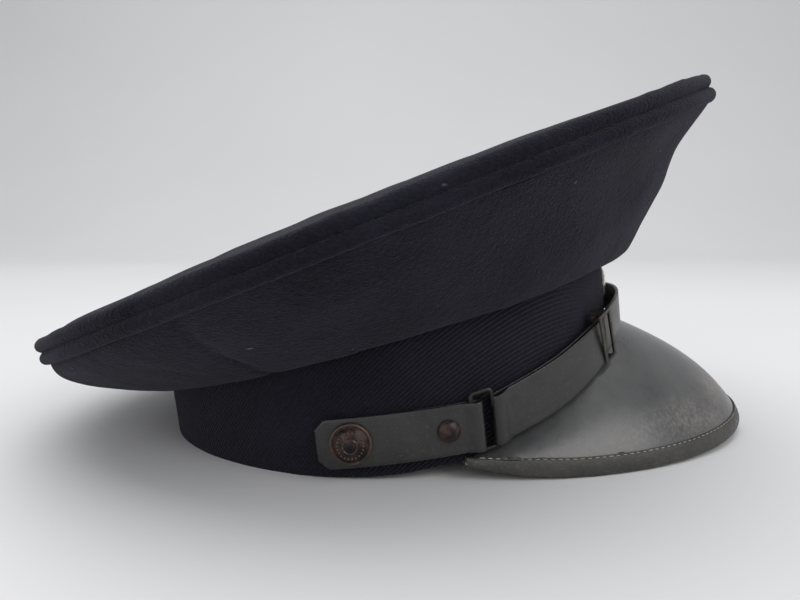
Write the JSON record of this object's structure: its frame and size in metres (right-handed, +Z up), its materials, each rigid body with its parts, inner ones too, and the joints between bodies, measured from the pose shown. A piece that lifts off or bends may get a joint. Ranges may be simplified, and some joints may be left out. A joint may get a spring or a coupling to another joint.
{
  "type": "military peaked cap",
  "caption": "Peaked cap with a wide tilted cloth crown, stiff headband, bound leather visor and a front chin strap on side buttons.",
  "frame": {"origin": "bottom centre of the bounding box, on the table the cap rests on", "axes": "+Z up, the front and visor towards -Y, the wearer's right towards -X"},
  "size_m": [0.286, 0.3142, 0.1534],
  "materials": {
    "melton_cloth": "milled wool, dark navy",
    "band_board": "fibre board",
    "stay_board": "fibre board",
    "sweatband_leather": "tan leather",
    "reed": "waxed reed",
    "ribbon": "ribbon",
    "lining_cloth": "cotton sateen",
    "wire_steel": "flat spring steel",
    "brass_fittings": "aged brass",
    "visor_leather": "waxed black leather, scuffed",
    "visor_lining": "dull underside",
    "visor_binding": "stitched binding",
    "strap_leather": "black leather",
    "badge_metal": "white metal",
    "black_metal": "worn black",
    "button_metal": "blackened, rusted"
  },
  "bodies": {
    "cap": {"band_cloth": "melton_cloth", "crown_front_right": "melton_cloth", "crown_front_left": "melton_cloth", "crown_rear_right": "melton_cloth", "crown_rear_left": "melton_cloth", "crown_edge_roll": "melton_cloth", "crown_welt": "melton_cloth", "crown_top": "melton_cloth", "band_board": "band_board", "front_stay": "stay_board", "sweatband": "sweatband_leather", "sweatband_reed": "reed", "sweatband_bow": "ribbon", "lining_side": "lining_cloth", "lining_top": "lining_cloth", "crown_wire": "wire_steel", "wire_ferrule": "brass_fittings", "visor": "visor_leather", "visor_lining": "visor_lining", "visor_binding": "visor_binding", "cap_badge": "badge_metal", "badge_keeper": "brass_fittings", "band_eyelet_right": "brass_fittings", "band_eyelet_left": "brass_fittings"},
    "chin_strap": {"front_strap": "strap_leather", "strap_tab_right": "strap_leather", "tab_stud_right": "black_metal", "strap_leaf_right": "strap_leather", "strap_tab_left": "strap_leather", "tab_stud_left": "black_metal", "strap_leaf_left": "strap_leather"},
    "side_button_right": {"side_button_right": "button_metal", "button_cotter_right": "brass_fittings"},
    "strap_ring_right": {"strap_ring_right": "black_metal"},
    "strap_slide_right": {"strap_slide_right": "black_metal"},
    "side_button_left": {"side_button_left": "button_metal", "button_cotter_left": "brass_fittings"},
    "strap_ring_left": {"strap_ring_left": "black_metal"},
    "strap_slide_left": {"strap_slide_left": "black_metal"}
  },
  "joints": [
    {"name": "chin_strap_swing", "type": "hinge", "parent": "cap", "child": "chin_strap", "pos_m": [0, 0.01529, 0.01522], "axis": [-1, 0, 0], "range_deg": [0, 4.5]},
    {"name": "side_button_right_spin", "type": "hinge", "parent": "cap", "child": "side_button_right", "pos_m": [-0.0888, 0.01529, 0.01522], "axis": [-1, 0, 0], "continuous": true},
    {"name": "strap_ring_right_turn", "type": "hinge", "parent": "chin_strap", "child": "strap_ring_right", "pos_m": [-0.08356, -0.02977, 0.02161], "axis": [-0.07, 0.2316, 0.9703], "range_deg": [-2.5, 2.5]},
    {"name": "strap_slide_right_slide", "type": "slide", "parent": "chin_strap", "child": "strap_slide_right", "axis": [0.703, -0.6045, 0.3746], "range_m": [-0.0005, 0.003]},
    {"name": "side_button_left_spin", "type": "hinge", "parent": "cap", "child": "side_button_left", "pos_m": [0.0888, 0.01529, 0.01522], "axis": [1, 0, 0], "continuous": true},
    {"name": "strap_ring_left_turn", "type": "hinge", "parent": "chin_strap", "child": "strap_ring_left", "pos_m": [0.08356, -0.02977, 0.02161], "axis": [0.07, 0.2316, 0.9703], "range_deg": [-2.5, 2.5]},
    {"name": "strap_slide_left_slide", "type": "slide", "parent": "chin_strap", "child": "strap_slide_left", "axis": [-0.703, -0.6045, 0.3746], "range_m": [-0.0005, 0.003]}
  ]
}
